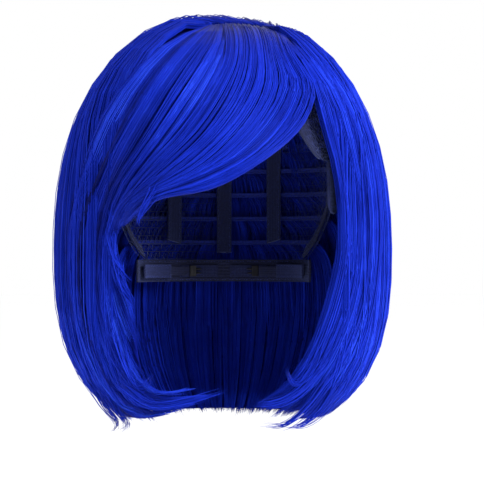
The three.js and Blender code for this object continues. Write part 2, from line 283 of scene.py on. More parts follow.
# Each path has about this many points before it is spaced evenly.
PATH_POINTS = 64
SOFTENING_ROUNDS = 6
WAVER = 0.4 * MM
GATHER_POWER = 1.5

# Shares of a strand's length over which locks, rounding, drift, painted shade and painted light set in or
# end.
LOCK_SETS_IN = (0.05, 0.4)
ROUNDING_SETS_IN = (0.1, 0.5)
DRIFT_SETS_IN = (0.05, 0.3)
PAINTED_ROOT_SHADE_ENDS = 0.25
WAIST_STARTS = (0.3, 0.5)
WAIST_ENDS = (0.6, 0.85)
PAINTED_TIP_LIGHT_FROM = 0.6

# Of the uneven length of strands, this share belongs to whole locks.
RAGGED_BY_LOCK = 0.6

# Spread of tone from strand to strand, of lock widths, and how fast a lock sways along itself.
STRAND_TONE = 0.07
LOCK_WIDTHS = (0.4, 1.6)
SWAY_RATE = 4


class Locks:
    """Splits a run of strands (each at a share from 0 to 1) into locks of uneven width."""

    def __init__(self, share, count):
        edges = np.cumsum(rng.uniform(*LOCK_WIDTHS, count))
        edges = np.concatenate([[0], edges / edges[-1]])
        self.index = np.clip(np.searchsorted(edges, share) - 1, 0, count - 1)
        self.centre = ((edges[1:] + edges[:-1]) / 2)[self.index]
        self.offset = (share - self.centre) / ((edges[1:] - edges[:-1]) / 2)[self.index]
        self.tone = rng.normal(0, 1, count)[self.index]
        self.depth = rng.uniform(0, 1, count)[self.index]
        self.phase = rng.uniform(0, 2 * math.pi, count)[self.index]
        self.reach = rng.uniform(0, 1, count)[self.index]
        self.sway = rng.normal(0, 1, count)[self.index]


def tubes(name, paths, width, tint, sides=3, taper_from=0.75):
    """One mesh of closed, slightly flat, tapering tubes along paths [n, k, 3].

    The tint is a value from 0, dark, to 1, light, for each strand, or for each point of it; on hair it
    carries painted shade and painted light along with the strand's own tone.
    """
    count, steps, _ = paths.shape
    along = unit(np.gradient(paths, axis=1))
    outward = paths - HAIR_CENTRE
    outward = unit(outward - along * np.sum(outward * along, axis=2, keepdims=True))
    across = np.cross(along, outward)
    t = np.linspace(0, 1, steps)
    taper = np.minimum(1, ROOT_WIDTH + ROOT_GROWTH * t) * (1 - TIP_LOSS * soft_step(taper_from, 1, t))
    radius = (width[:, None] / 2 * taper)[..., None]
    rings = []
    for side in range(sides):
        turn = math.pi / 2 + 2 * math.pi * side / sides
        flat = STRAND_FLATNESS * outward * math.sin(turn)
        rings.append(paths + radius * (across * math.cos(turn) + flat))
    points = np.stack(rings, axis=2).reshape(-1, 3)

    ring = np.arange(sides)
    base = (np.arange(count)[:, None, None] * steps + np.arange(steps - 1)[None, :, None]) * sides
    a = base + ring
    b = base + (ring + 1) % sides
    quads = np.stack([a, b, b + sides, a + sides], axis=-1).reshape(-1, 4)
    first = np.arange(count)[:, None] * steps * sides
    caps = np.concatenate([first + ring[::-1], first + (steps - 1) * sides + ring])

    mesh = bpy.data.meshes.new(name)
    loops = np.concatenate([quads.ravel(), caps.ravel()]).astype(np.int32)
    sizes = np.concatenate([np.full(len(quads), 4), np.full(len(caps), sides)])
    loop_start = np.concatenate([[0], np.cumsum(sizes)[:-1]]).astype(np.int32)
    mesh.vertices.add(len(points))
    mesh.vertices.foreach_set("co", points.astype(np.float32).ravel())
    mesh.loops.add(len(loops))
    mesh.loops.foreach_set("vertex_index", loops)
    mesh.polygons.add(len(sizes))
    mesh.polygons.foreach_set("loop_start", loop_start)
    mesh.update(calc_edges=True)
    mesh.validate()
    mesh.polygons.foreach_set("use_smooth", np.ones(len(mesh.polygons), bool))
    shade = mesh.attributes.new("strand_tint", "FLOAT", "POINT")
    tint = np.broadcast_to(tint.reshape(count, -1), (count, steps))
    shade.data.foreach_set("value", np.repeat(tint.ravel(), sides).astype(np.float32))
    return add_object(name, mesh)


def soften(paths, rounds):
    """Takes the kinks out of paths and leaves their ends where they are."""
    for _ in range(rounds):
        ahead, behind = paths[:, 2:], paths[:, :-2]
        middle = paths[:, 1:-1] / 2 + (ahead + behind) / 4
        paths = np.concatenate([paths[:, :1], middle, paths[:, -1:]], axis=1)
    return paths


def lay_strands(name, paths, locks, layers, style):
    """Turns paths on the hair's outside into a piece of strands that lie in locks and in layers."""
    count, fine, _ = paths.shape
    layer = rng.uniform(*layers, count)
    run = np.linspace(0, 1, fine)[None, :]
    inset = layer[:, None] + style["lock_depth"] * locks.depth[:, None] * soft_step(*LOCK_SETS_IN, run)
    inset = inset + style["lock_round"] * (locks.offset**2)[:, None] * soft_step(*ROUNDING_SETS_IN, run)
    inset = inset + wander(count, fine) * WAVER
    inset = inset + style["root_depth"] * (1 - soft_step(0, style["root_rise"], run))
    paths = soften(settle(paths, inset), SOFTENING_ROUNDS)
    across = np.cross(unit(np.gradient(paths, axis=1)), unit(paths))
    drift = wander(count, fine) * style["stray"]
    drift = drift + locks.sway[:, None] * np.sin(SWAY_RATE * run + locks.phase[:, None]) * style["sway"]
    paths = paths + across * (drift * soft_step(*DRIFT_SETS_IN, run))[..., None]
    uneven = RAGGED_BY_LOCK * locks.reach + (1 - RAGGED_BY_LOCK) * rng.uniform(0, 1, count)
    reach = 1 - style["ragged"] * uneven
    paths = even_spacing(paths, style["steps"], reach)
    width = rng.uniform(*style["width"], count)
    tint = style["tone"] + style["lock_tone"] * locks.tone + rng.normal(0, STRAND_TONE, count)
    # Strands laid deeper in are darker: painted shade between the strands.
    tint = tint - layer * style["painted_layer_shade"]
    run = np.linspace(0, 1, style["steps"])
    # Painted shade darkens the roots and the middle of the length, and painted light brightens the tips.
    shade = style["painted_root_shade"] * (1 - soft_step(0, PAINTED_ROOT_SHADE_ENDS, run))
    shade = shade - style["painted_tip_light"] * soft_step(PAINTED_TIP_LIGHT_FROM, 1, run)
    waist = soft_step(*WAIST_STARTS, run) * (1 - soft_step(*WAIST_ENDS, run))
    shade = shade + style["waist_shade"] * waist
    tint = np.clip(tint[:, None] - shade, 0, 1)
    piece = tubes(name, paths, width, tint, taper_from=style["taper_from"])
    return finish_piece(piece, HAIR, "hair_fibre")


STYLE = {
    "steps": 18, "from_point": 0, "width": (0.5 * MM, 0.85 * MM), "taper_from": 0.75,
    "lock_depth": 1.5 * MM, "lock_round": 0.8 * MM, "root_depth": 5.5 * MM, "root_rise": 0.14,
    "stray": 0.5 * MM, "sway": 0.9 * MM, "ragged": 0.08, "pull": 0.45,
    # Tone of the strands, how it varies by lock, and painted shade that darkens deeper layers.
    "tone": 0.5, "lock_tone": 0.07, "painted_layer_shade": 30,
    # Painted shade at the roots and across the middle of the length, and painted light on the tips.
    "painted_root_shade": 0.18, "waist_shade": 0, "painted_tip_light": 0.06,
}


def gather(own, middle, pull):
    """Draws strands towards the middle of their lock, more and more down to their tips."""
    share = pull * np.linspace(0, 1, own.shape[1]) ** GATHER_POWER
    return lerp(own, middle, share[None, :, None])


def between_routes(routes, share, along):
    """Paths at shares from the first route to the last, at places along them."""
    return spline(np.swapaxes(spline(np.swapaxes(routes, 0, 1), share), 0, 1), along)


def front_routes(table):
    """Routes from a place on the parting through places seen from the front, in millimetres."""
    routes = []
    for share, places in table:
        seen = np.array(places, float) * MM
        routes.append(np.concatenate([[part_point(share)], front_point(seen[:, 0], seen[:, 1])]))
    return np.array(routes)


def crown_paths(azimuth, end_angle):
    """Paths from the parting over the crown, and down to an angle below the widest level."""
    share = (0.5 + 0.5 * np.cos(azimuth - PART_FACING))[:, None, None]
    part = lerp(PART_RIGHT, PART_LEFT, share)
    rim_reach = side_radius(azimuth, np.full_like(azimuth, SHOULDER))
    rim = np.stack([np.sin(azimuth), -np.cos(azimuth)], axis=-1) * rim_reach[:, None]
    start = PART_GAP / rim_reach[:, None, None]
    t = start + (1 - start) * np.linspace(0, 1, PATH_POINTS // 2)[None, :, None]
    plan = part * (1 - t) ** 2 + rim[:, None, :] * t
    over = np.concatenate([plan, top_level(plan[..., 0], plan[..., 1])[..., None]], axis=-1)
    rise = ((SHOULDER - WIDEST) / (TOP - WIDEST)) ** (SQUARENESS_ABOVE / 2)
    angle = lerp(math.asin(rise), end_angle[:, None], np.linspace(0, 1, PATH_POINTS // 2)[None, 1:])
    power = np.where(angle > 0, 2 / SQUARENESS_ABOVE, 2 / SQUARENESS_BELOW)
    span = np.where(angle > 0, TOP - WIDEST, BOTTOM - WIDEST)
    z = WIDEST + span * np.abs(np.sin(angle)) ** power
    edge = np.where(azimuth < 0, RIGHT_FACE_EDGE, LEFT_FACE_EDGE)
    clear = np.sign(azimuth) * np.maximum(np.abs(azimuth), edge)
    turn = azimuth[:, None] + (clear - azimuth)[:, None] * soft_step(SHOULDER, 0, z)
    radius = side_radius(turn, z)
    down = joined(radius * np.sin(turn), -radius * np.cos(turn), z)
    return np.concatenate([over, down], axis=1)


# ---------- hair material


def new_material(name):
    material = bpy.data.materials.new(name)
    material.use_nodes = True
    tree = material.node_tree
    shader = tree.nodes["Principled BSDF"]
    return material, tree, shader


def ramp(tree, source, stops):
    """Maps a value to colours; stops are (position, (r, g, b))."""
    node = tree.nodes.new("ShaderNodeValToRGB")
    elements = node.color_ramp.elements
    while len(elements) < len(stops):
        elements.new(0.5)
    for element, (position, colour) in zip(elements, stops):
        element.position = position
        element.color = (*colour, 1)
    tree.links.new(source, node.inputs["Fac"])
    return node.outputs["Color"]


def noise(tree, scale, detail=3.0, stretch=(1, 1, 1)):
    """Noise over the object's own coordinates."""
    place = tree.nodes.new("ShaderNodeTexCoord")
    mapping = tree.nodes.new("ShaderNodeMapping")
    mapping.inputs["Scale"].default_value = stretch
    node = tree.nodes.new("ShaderNodeTexNoise")
    node.inputs["Scale"].default_value = scale
    node.inputs["Detail"].default_value = detail
    tree.links.new(place.outputs["Object"], mapping.inputs["Vector"])
    tree.links.new(mapping.outputs["Vector"], node.inputs["Vector"])
    return node.outputs["Fac"]


FIBRE_COLOURS = [
    (0.15, (0.0010, 0.0025, 0.065)),
    (0.50, (0.0029, 0.0102, 0.222)),
    (0.80, (0.0058, 0.0205, 0.385)),
    (1.00, (0.0155, 0.0480, 0.565)),
]
FIBRE_NOISE = 0.3


def hair_material():
    material, tree, shader = new_material("blue_fibre")
    # The strand tint holds the fibre's own tone together with painted shade and painted light.
    tint = tree.nodes.new("ShaderNodeAttribute")
    tint.attribute_name = "strand_tint"
    mix = tree.nodes.new("ShaderNodeMath")
    mix.operation = "MULTIPLY_ADD"
    mix.inputs[1].default_value = FIBRE_NOISE
    tree.links.new(noise(tree, scale=60), mix.inputs[0])
    tree.links.new(tint.outputs["Fac"], mix.inputs[2])
    tree.links.new(ramp(tree, mix.outputs["Value"], FIBRE_COLOURS), shader.inputs["Base Color"])
    shader.inputs["Roughness"].default_value = 0.44
    shader.inputs["Specular IOR Level"].default_value = 0.13
    shader.inputs["Specular Tint"].default_value = (0.20, 0.36, 1.0, 1)
    return material


HAIR = hair_material()


def finish_piece(piece, material, slot_name):
    piece.data.materials.clear()
    piece.data.materials.append(material)
    return piece


def hang(piece, body):
    """Bakes a piece's placing into its mesh."""
    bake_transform(piece)


def follow(piece, body):
    if body in ("cap", "fringe"):
        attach(piece, body)
    else:
        hang(piece, body)


# ---------- the fringe and the front

# Routes seen from the front, (across, up) in millimetres, each from a share of the parting.

# The fringe, from inside its sweep to its free lower edge.
FRINGE = [
    (0.20, [(2, 75), (-10, 51), (-26, 28), (-43, 10), (-57, -7), (-67, -23), (-71, -40)]),
    (0.45, [(16, 78), (11, 54), (-4, 29), (-25, 9), (-44, -5), (-59, -16), (-68, -34)]),
    (0.65, [(26, 78), (26, 56), (14, 33), (-8, 10), (-32, -4), (-52, -13), (-64, -31)]),
    (0.85, [(35, 79), (43, 58), (35, 38), (14, 14), (-16, -2), (-44, -11), (-61, -28)]),
    (1.00, [(43, 79), (57, 57), (51, 35), (27, 12), (-5, -6), (-40, -12), (-58, -24)]),
]

# The wearer's right, from the outline in to the edge along the cheek.
RIGHT = [
    (0.00, [(-38, 83), (-64, 55), (-83, 22), (-94, -12), (-98, -43), (-96, -74), (-88, -105),
            (-74, -133), (-54, -149), (-30, -143)]),
    (0.05, [(-23, 84), (-47, 52), (-67, 19), (-82, -12), (-88, -43), (-87, -74), (-78, -105),
            (-65, -132), (-46, -144), (-14, -136)]),
    (0.15, [(-10, 81), (-30, 50), (-50, 18), (-70, -12), (-76, -43), (-74, -74), (-68, -101),
            (-57, -123), (-38, -134), (-2, -129)]),
    (0.25, [(1, 79), (-13, 50), (-34, 20), (-58, -7), (-72, -37), (-70, -67), (-64, -95),
            (-56, -115), (-48, -126), (-43, -121)]),
    (0.35, [(6, 78), (-6, 49), (-26, 19), (-52, -4), (-69, -24), (-71, -37), (-68, -50),
            (-61, -64), (-56, -81), (-53, -95)]),
]

# The wearer's left, from the edge along the cheek out to the outline.
LEFT = [
    (1.00, [(40, 84), (53, 67), (59, 47), (67, 22), (74, -10), (75, -40), (69, -67),
            (60, -95), (48, -116), (35, -130), (20, -136)]),
    (1.00, [(46, 83), (62, 61), (73, 34), (81, 3), (83, -31), (81, -61), (73, -89),
            (63, -112), (51, -128), (38, -138), (24, -148)]),
    (1.00, [(53, 83), (74, 56), (87, 25), (92, -6), (93, -37), (91, -68), (83, -95),
            (72, -118), (59, -133), (47, -142), (37, -148)]),
    (1.00, [(58, 83), (80, 53), (94, 23), (99, -9), (100, -40), (97, -68), (90, -99),
            (79, -123), (67, -138), (57, -144), (48, -147)]),
]


def combed_piece(name, table, count, locks_count, layers, **changes):
    style = {**STYLE, **changes}
    share = rng.uniform(0, 1, count)
    locks = Locks(share, locks_count)
    routes = front_routes(table)
    along = np.linspace(0, 1, PATH_POINTS)
    own = between_routes(routes, share, along)
    paths = gather(own, between_routes(routes, locks.centre, along), style["pull"])
    return lay_strands(name, paths, locks, layers, style)


def fringe():
    piece = combed_piece(
        "hair_fringe", FRINGE, count=1400, locks_count=44, layers=(-1 * MM, 3 * MM),
        ragged=0.10, steps=24, lock_depth=0.9 * MM, pull=0.35,
    )
    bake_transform(piece)
    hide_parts("fringe_hair")


def front_sides():
    # The front locks get painted shade across the middle of their length, the right one most.
    right = combed_piece(
        "hair_right_front", RIGHT, count=1300, locks_count=20, layers=(-1 * MM, 4 * MM),
        ragged=0.10, lock_tone=0.15, lock_depth=2.2 * MM, waist_shade=0.28,
    )
    hang(right, "right_hair")
    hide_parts("front_lock_right")
    left = combed_piece(
        "hair_left_front", LEFT, count=1200, locks_count=18, layers=(-1 * MM, 4 * MM),
        ragged=0.12, lock_tone=0.12, waist_shade=0.12,
    )
    hang(left, "left_hair")
    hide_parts("front_lock_left")


# ---------- the sides and the back

CROWN_STYLE = {**STYLE, "taper_from": 0.93}

# Spread of the angle, in degrees, at which strands end.
END_SPREAD = 1.0


def crown_piece(name, low, high, count, locks_count, layers, end_angle, **changes):
    style = {**CROWN_STYLE, **changes}
    share = rng.uniform(0, 1, count)
    locks = Locks(share, locks_count)
    end = (end_angle + rng.normal(0, END_SPREAD, count)) * DEG
    own = crown_paths(lerp(low, high, share), end)
    middle = crown_paths(lerp(low, high, locks.centre), end)
    paths = gather(own, middle, style["pull"])[:, style["from_point"] :]
    return lay_strands(name, paths, locks, layers, style)


SIDE_HAIR_FROM = {"right": 37 * DEG, "left": 47 * DEG}
SIDE_TO_BACK = 130 * DEG
BACK = (SIDE_TO_BACK, 2 * math.pi - SIDE_TO_BACK)
LINING_FROM = 61 * DEG
OUTER = (-1 * MM, 2.5 * MM)
INNER = (6 * MM, 8.5 * MM)
STRAYS = {"layers": (-2.5 * MM, -1 * MM), "end_angle": -60, "stray": 1.0 * MM, "steps": 14}

# Hair of the wefts behind the ears, inside the corner where the side and back curtains meet.
CORNER_FROM = 108 * DEG
CORNER_TO = 152 * DEG
CORNER = (10 * MM, 12.5 * MM)

# The lining starts at the lower wefts, and is seen from inside; it has no painted shade at its roots or on
# its deeper layers.
LINING = {
    "from_point": 35, "steps": 12, "pull": 0.2, "ragged": 0.03,
    "root_depth": 0, "painted_root_shade": 0, "tone": 0.45, "painted_layer_shade": 0,
}


def sides_and_back():
    for name, side in SIDES:
        body = f"{name}_hair"
        outer = crown_piece(
            f"hair_{name}_outer", *sector(side, SIDE_HAIR_FROM[name], SIDE_TO_BACK),
            count=1150, locks_count=24, layers=OUTER, end_angle=-62, pull=0.3, lock_tone=0.11,
        )
        lined = sector(side, LINING_FROM, SIDE_TO_BACK)
        inner = crown_piece(
            f"hair_{name}_inner", *lined, count=450, locks_count=12, layers=INNER, end_angle=-57, **LINING
        )
        stray = crown_piece(f"hair_{name}_stray", *lined, count=45, locks_count=45, **STRAYS)
        for piece in (stray, outer, inner):
            hang(piece, body)
        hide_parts(f"side_hair_{name}")
        corner = crown_piece(
            f"hair_{name}_corner", *sector(side, CORNER_FROM, CORNER_TO),
            count=420, locks_count=14, layers=CORNER, end_angle=-56, **LINING,
        )
        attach(corner, "cap")
    outer = crown_piece(
        "hair_back_outer", *BACK, count=1500, locks_count=40, layers=OUTER, end_angle=-61,
        pull=0.15, ragged=0.03, steps=16,
    )
    stray = crown_piece("hair_back_stray", *BACK, count=50, locks_count=50, **STRAYS)
    inner = crown_piece(
        "hair_back_inner", *BACK, count=1100, locks_count=40, layers=INNER, end_angle=-59, **LINING
    )
    for piece in (stray, outer, inner):
        hang(piece, "nape_hair")
    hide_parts("back_hair")


# ---------- loose wisps

# Routes of wisps, (x, y, z) in millimetres. The first word of a name says where it hangs.
WISPS = {
    "fringe_tip": [(-41, -93, -6), (-46, -90, -15), (-49, -88, -23), (-50, -86, -29)],
    "right_cheek_high": [(-69, -56, -34), (-66, -58, -48), (-60, -61, -58), (-55, -64, -62)],
    "right_cheek_low": [(-65, -59, -50), (-62, -61, -64), (-56, -64, -74), (-53, -66, -79)],
    "right_upcurl": [(-66, -58, -94), (-59, -60, -114), (-51, -62, -127), (-42, -66, -120)],
    "right_hem_outer": [(-83, -23, -124), (-74, -23, -140), (-66, -24, -151), (-70, -27, -157)],
    "right_hem_inner": [(-75, -30, -127), (-67, -31, -142), (-60, -33, -151), (-64, -36, -156)],
    "right_chin": [(-62, -58, -124), (-44, -64, -137), (-24, -68, -136), (2, -70, -129)],
    "left_flick": [(64, -58, -92), (54, -62, -115), (44, -66, -125), (38, -70, -114)],
    "left_chin_high": [(62, -58, -112), (47, -63, -129), (32, -67, -136), (17, -69, -137)],
    "left_chin_low": [(64, -52, -122), (50, -57, -140), (37, -61, -150), (22, -63, -150)],
    "left_hem": [(72, -42, -126), (60, -47, -143), (48, -50, -151), (38, -52, -152)],
}
WISP_STRANDS = 26
WISP_WIDTH = (0.45 * MM, 0.75 * MM)
WISP_REACH = (0.75, 1)
WISP_TONE = (0.5, 0.08)

# Spread of a wisp's strands at its root and its tip, and from place to place, in millimetres.
WISP_ROOT = 2.2
WISP_TIP = 1.2
WISP_WAVER = 0.4


def wisps():
    for name, knots in WISPS.items():
        route = np.array(knots, float) * MM
        start = rng.normal(0, WISP_ROOT, (WISP_STRANDS, 1, 3)) * MM
        end = rng.normal(0, WISP_TIP, (WISP_STRANDS, 1, 3)) * MM
        share = np.linspace(0, 1, len(route))[None, :, None]
        waver = rng.normal(0, WISP_WAVER, (WISP_STRANDS, len(route), 3)) * MM
        paths = spline(route[None] + (lerp(start, end, share) + waver), np.linspace(0, 1, 30))
        paths = even_spacing(paths, 12, rng.uniform(*WISP_REACH, WISP_STRANDS))
        width = rng.uniform(*WISP_WIDTH, WISP_STRANDS)
        tint = np.clip(rng.normal(*WISP_TONE, WISP_STRANDS), 0, 1)
        piece = finish_piece(tubes(f"wisp_{name}", paths, width, tint), HAIR, "hair_fibre")
        place = name.split("_")[0]
        follow(piece, place if place == "fringe" else f"{place}_hair")


# ---------- the mass of hair under the strands, dark with painted shade


def sheet(name, outer, inner, material, slot_name):
    """A closed sheet between two grids of points [rows, columns, 3]."""
    rows, columns, _ = outer.shape
    points = np.concatenate([outer.reshape(-1, 3), inner.reshape(-1, 3)])
    half = rows * columns
    faces = []
    for r in range(rows - 1):
        for c in range(columns - 1):
            a = r * columns + c
            quad = (a, a + 1, a + columns + 1, a + columns)
            faces.append(quad)
            faces.append(tuple(half + i for i in reversed(quad)))
    rim = [r * columns for r in range(rows)]
    rim += [(rows - 1) * columns + c for c in range(1, columns)]
    rim += [r * columns + columns - 1 for r in range(rows - 2, -1, -1)]
    rim += list(range(columns - 2, 0, -1))
    for i, a in enumerate(rim):
        b = rim[(i + 1) % len(rim)]
        faces.append((a, b, half + b, half + a))
    mesh = bpy.data.meshes.new(name)
    mesh.from_pydata(points.tolist(), [], faces)
    mesh.update()
    mesh.polygons.foreach_set("use_smooth", np.ones(len(mesh.polygons), bool))
    return finish_piece(add_object(name, mesh), material, slot_name)


def painted_shade_under_material():
    material, tree, shader = new_material("under_hair")
    # Far darker than the fibre's own colour: painted shade of hair deep under the strands, with a fine
    # grain along it.
    stops = [(0.3, (0.001, 0.002, 0.04)), (0.7, (0.002, 0.006, 0.15))]
    source = noise(tree, 700, 2.0, (1, 1, 0.05))
    tree.links.new(ramp(tree, source, stops), shader.inputs["Base Color"])
    shader.inputs["Roughness"].default_value = 0.7
    shader.inputs["Specular IOR Level"].default_value = 0.1
    shader.inputs["Specular Tint"].default_value = (0.1, 0.2, 1.0, 1)
    return material


PAINTED_SHADE_UNDER = painted_shade_under_material()


SHEET_THICKNESS = 1 * MM

# Ridges that give a sheet the grain of hair: their height, and waves of (rate, share, phase).
CROWN_RIDGE = 0.45 * MM
CROWN_WAVES = ((97, 1, 0), (211, 0.7, 2), (409, 0.5, 0))
FRONT_RIDGE = 0.4 * MM
FRONT_WAVES = ((150, 1, 0), (331, 0.7, 0))

# Shares between the first and last route, and along them, that a front sheet covers.
FRONT_SHARES = np.linspace(0.04, 0.92, 70)
FRONT_START = 0.05

# Stretches, as points of the crown's paths, of the sheets on the crown and of those that hang.
CROWN_POINTS = (3, 42)
FORELOCK_POINTS = (3, 30)
HANGING_POINTS = (36, 63)

CROWN_SHEET = (50 * DEG, 310 * DEG)
FORELOCK_SHEET = (-51 * DEG, 51 * DEG)
SIDE_SHEET_FROM = 56 * DEG


def ridged_sheet(name, paths, inset, height, waves, place):
    ridge = height * sum(share * np.sin(place * rate + phase) for rate, share, phase in waves)
    outer = np.swapaxes(settle(paths, inset + ridge[:, None]), 0, 1)
    inner = np.swapaxes(settle(paths, inset + SHEET_THICKNESS), 0, 1)
    return sheet(name, outer, inner, PAINTED_SHADE_UNDER, "hair_fibre")


def under_sheet(name, low, high, end_angle, points, inset, columns):
    """A ridged sheet of hair under the strands, over part of the way from parting to tips."""
    azimuth = np.linspace(low, high, columns)
    paths = crown_paths(azimuth, np.full(columns, end_angle * DEG))[:, slice(*points)]
    return ridged_sheet(name, paths, inset, CROWN_RIDGE, CROWN_WAVES, azimuth)


def front_sheet(name, table, inset, reach):
    """A ridged sheet of hair behind the combed front, ending short of its tips."""
    paths = between_routes(front_routes(table), FRONT_SHARES, np.linspace(FRONT_START, reach, 44))
    return ridged_sheet(name, paths, inset, FRONT_RIDGE, FRONT_WAVES, FRONT_SHARES)


def under_hair():
    crown = under_sheet("under_crown", *CROWN_SHEET, -10, CROWN_POINTS, inset=5 * MM, columns=300)
    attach(crown, "cap")
    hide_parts("crown_hair")
    front = under_sheet("under_forelock", *FORELOCK_SHEET, -10, FORELOCK_POINTS, inset=7 * MM, columns=120)
    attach(front, "cap")
    panels = (
        ("under_right", sector(-1, SIDE_SHEET_FROM, SIDE_TO_BACK), "right_hair"),
        ("under_left", sector(1, SIDE_SHEET_FROM, SIDE_TO_BACK), "left_hair"),
        ("under_back", BACK, "nape_hair"),
    )
    for name, part, body in panels:
        piece = under_sheet(name, *part, -57, HANGING_POINTS, inset=4 * MM, columns=130)
        hang(piece, body)
    for name, side in SIDES:
        part = sector(side, CORNER_FROM, CORNER_TO)
        corner = under_sheet(f"under_{name}_corner", *part, -53, HANGING_POINTS, inset=13 * MM, columns=60)
        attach(corner, "cap")
    backing = front_sheet("under_fringe", FRINGE, inset=5 * MM, reach=0.82)
    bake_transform(backing)
    hang(front_sheet("under_right_front", RIGHT, inset=4.5 * MM, reach=0.86), "right_hair")
    hang(front_sheet("under_left_front", LEFT, inset=3.2 * MM, reach=0.86), "left_hair")


# ---------- the cap: its surfaces

# Standoffs from the head of the layers of the cap, from the inside out.
CROWN_TAPE = (-3.9 * MM, -2.9 * MM)
TAPE = (-2.4 * MM, -1.3 * MM)
HEM_BAND = (-3.1 * MM, -1.8 * MM)
NET = 0.4 * MM
TRACK = (1.6 * MM, 2.6 * MM)
SKIN_TOP = (1.6 * MM, 2.6 * MM)

# The hem drops from the forehead to the ears and on to the nape between these azimuths.
HEM_TO_EAR = (18 * DEG, 58 * DEG)
HEM_TO_NAPE = (94 * DEG, 126 * DEG)
HEM_EDGE = 0.5 * MM
HEM_FRONT = 62 * MM
HEM_EAR = 12 * MM
HEM_NAPE = -49 * MM
TAPE_WIDTH = 10 * MM
TRACK_WIDTH = 3 * MM
TRACK_ABOVE_HEM = 5 * MM
TRACK_LEVELS = np.array([-38, -22, -6, 10, 26, 42, 57, 70]) * MM

# Where bands, tapes, wefts and the parting cloth begin and end.
FOREHEAD_BAND = (-56 * DEG, 56 * DEG, 16 * MM)
SIDE_BAND = (59 * DEG, 124 * DEG, 8 * MM)
SIDE_TAPE = (27 * DEG, 58 * DEG, 206 * DEG)
CENTRE_TAPE = (0, 58 * DEG, 208 * DEG)
CROWN_TAPE_FORWARD = 0.13
CROWN_TAPE_ENDS = (18 * DEG, 162 * DEG)
TOP_TRACK_FROM = 8 * DEG
SIDE_TRACK_FROM = 64 * DEG
SKIN_ACROSS = (-16 * MM, 36 * MM)
SKIN_ALONG = (-38 * MM, 24 * MM)

# The round of the nape: its centre, and radii, azimuth ends, top and bottom of what lies on it.
NAPE_CENTRE = 20 * MM
NAPE_BAND = (58.6, 60.0, -72, 72, -49.4, -64)
LOOP_TAPE = (57.4, 58.3, 4, 30, -53, -61)
STRAP = (55.9, 57.1, 24.4, 68, -54, -60)
CASING = (54.3, 55.6, 40, 70, -52.5, -61.5)
HOOK = (55.3, 57.1, 16, 24, -52.5, -61.5)

TAB_AZIMUTH = 68 * DEG


def hem(azimuth):
    turn = np.abs(azimuth)
    to_ear = soft_step(*HEM_TO_EAR, turn)
    to_nape = soft_step(*HEM_TO_NAPE, turn)
    return HEM_FRONT + (HEM_EAR - HEM_FRONT) * to_ear + (HEM_NAPE - HEM_EAR) * to_nape


def on_head(azimuth, z, standoff):
    ring = np.sqrt(np.maximum(1 - (z / (HEAD[2] + standoff)) ** 2, 0))
    x = (HEAD[0] + standoff) * ring * np.sin(azimuth)
    y = -(HEAD[1] + standoff) * ring * np.cos(azimuth)
    return joined(x, y, z)


def on_dome(azimuth, from_top, standoff):
    x = (HEAD[0] + standoff) * np.sin(from_top) * np.sin(azimuth)
    y = -(HEAD[1] + standoff) * np.sin(from_top) * np.cos(azimuth)
    z = (HEAD[2] + standoff) * np.cos(from_top)
    return joined(x, y, z)


# Each of these gives place(u, v, standoff): along the strip, across it, and off the head.


def along_hem(start, end, width):
    def place(u, v, standoff):
        azimuth = lerp(start, end, u)
        return on_head(azimuth, hem(azimuth) + lerp(HEM_EDGE, width, v), standoff)

    return place


def front_to_back(side, start, end):
    half_angle = TAPE_WIDTH / 2 / HEAD[0]

    def place(u, v, standoff):
        sideways = side + lerp(-half_angle, half_angle, v)
        over = lerp(start, end, u)
        x = (HEAD[0] + standoff) * np.sin(sideways)
        y = -(HEAD[1] + standoff) * np.cos(sideways) * np.cos(over)
        z = (HEAD[2] + standoff) * np.cos(sideways) * np.sin(over)
        return joined(x, y, z)

    return place


def ear_to_ear(u, v, standoff):
    half_angle = TAPE_WIDTH / 2 / HEAD[1]
    lengthwise = CROWN_TAPE_FORWARD + lerp(-half_angle, half_angle, v)
    over = lerp(*CROWN_TAPE_ENDS, u)
    x = (HEAD[0] + standoff) * np.cos(lengthwise) * np.cos(over)
    y = -(HEAD[1] + standoff) * np.sin(lengthwise)
    z = (HEAD[2] + standoff) * np.cos(lengthwise) * np.sin(over)
    return joined(x, y, z)


def track_place(level):
    start = TOP_TRACK_FROM if level > HEM_FRONT else SIDE_TRACK_FROM
    while hem(start) > level - TRACK_ABOVE_HEM:
        start += DEG

    def place(u, v, standoff):
        azimuth = lerp(start, 2 * math.pi - start, u)
        return on_head(azimuth, level + lerp(-TRACK_WIDTH / 2, TRACK_WIDTH / 2, v), standoff)

    return place


def skin_place(u, v, standoff):
    x = lerp(*SKIN_ACROSS, v)
    y = lerp(*SKIN_ALONG, u)
    height = np.sqrt(1 - (x / (HEAD[0] + standoff)) ** 2 - (y / (HEAD[1] + standoff)) ** 2)
    return joined(x, y, (HEAD[2] + standoff) * height)


def on_nape(shape, side):
    inside, outside, start, end, top, bottom = shape

    def place(u, v, radius):
        turn = side * lerp(start, end, u) * DEG
        x = radius * np.sin(turn)
        y = NAPE_CENTRE + radius * np.cos(turn)
        return joined(x, y, lerp(bottom, top, v) * MM)

    return place, (inside * MM, outside * MM)


# ---------- the cap: cloth, thread and plastic


def cloth_material(name, dark, light, scale, roughness=0.85, sheen=0.3):
    material, tree, shader = new_material(name)
    stops = [(0.3, dark), (0.7, light)]
    tree.links.new(ramp(tree, noise(tree, scale, 4.0), stops), shader.inputs["Base Color"])
    shader.inputs["Roughness"].default_value = roughness
    shader.inputs["Specular IOR Level"].default_value = 0.25
    shader.inputs["Sheen Weight"].default_value = sheen
    shader.inputs["Sheen Tint"].default_value = (0.3, 0.4, 1.0, 1)
    bump = tree.nodes.new("ShaderNodeBump")
    bump.inputs["Strength"].default_value = 0.25
    bump.inputs["Distance"].default_value = 0.2 * MM
    tree.links.new(noise(tree, scale * 2, 2.0), bump.inputs["Height"])
    tree.links.new(bump.outputs["Normal"], shader.inputs["Normal"])
    return material


